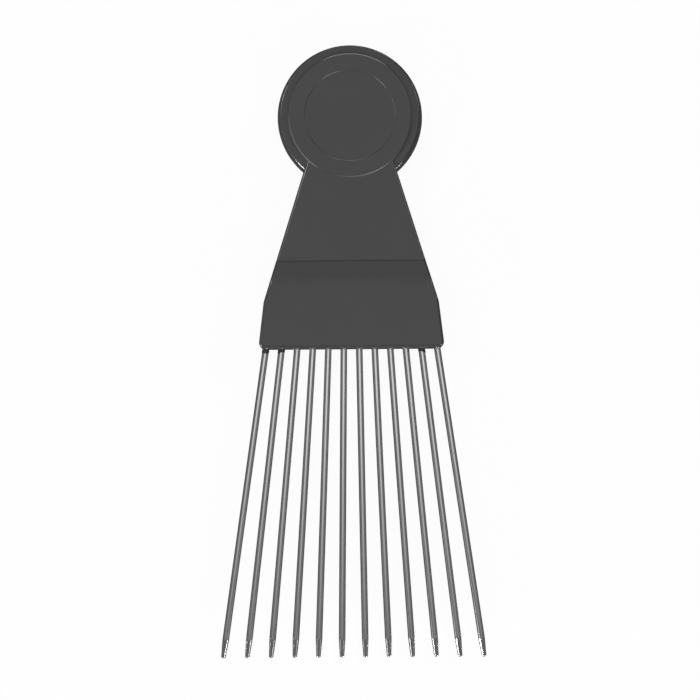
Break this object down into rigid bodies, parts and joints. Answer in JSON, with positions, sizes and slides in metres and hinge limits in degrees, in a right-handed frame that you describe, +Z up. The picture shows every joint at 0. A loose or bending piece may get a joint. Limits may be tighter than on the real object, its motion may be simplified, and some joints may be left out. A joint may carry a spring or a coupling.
{
  "type": "afro pick",
  "caption": "Hair pick with a flat moulded handle: a round end, a flared plate and a thicker block that holds a fan of long straight metal pins.",
  "frame": {"origin": "under the middle of the whole length, on the surface that the pick lies on", "axes": "+Z up out of the handle's front face, +Y from the pin tips towards the round end, +X across to the right"},
  "size_m": [0.0734, 0.1694, 0.01],
  "materials": {
    "handle_plastic": "dark grey-black moulded plastic, satin",
    "pin_steel": "bright drawn wire, ground at the tips"
  },
  "bodies": {
    "root": {"handle": "handle_plastic", "pin_01": "pin_steel", "pin_02": "pin_steel", "pin_03": "pin_steel", "pin_04": "pin_steel", "pin_05": "pin_steel", "pin_06": "pin_steel", "pin_07": "pin_steel", "pin_08": "pin_steel", "pin_09": "pin_steel", "pin_10": "pin_steel", "pin_11": "pin_steel", "pin_12": "pin_steel"}
  },
  "joints": []
}
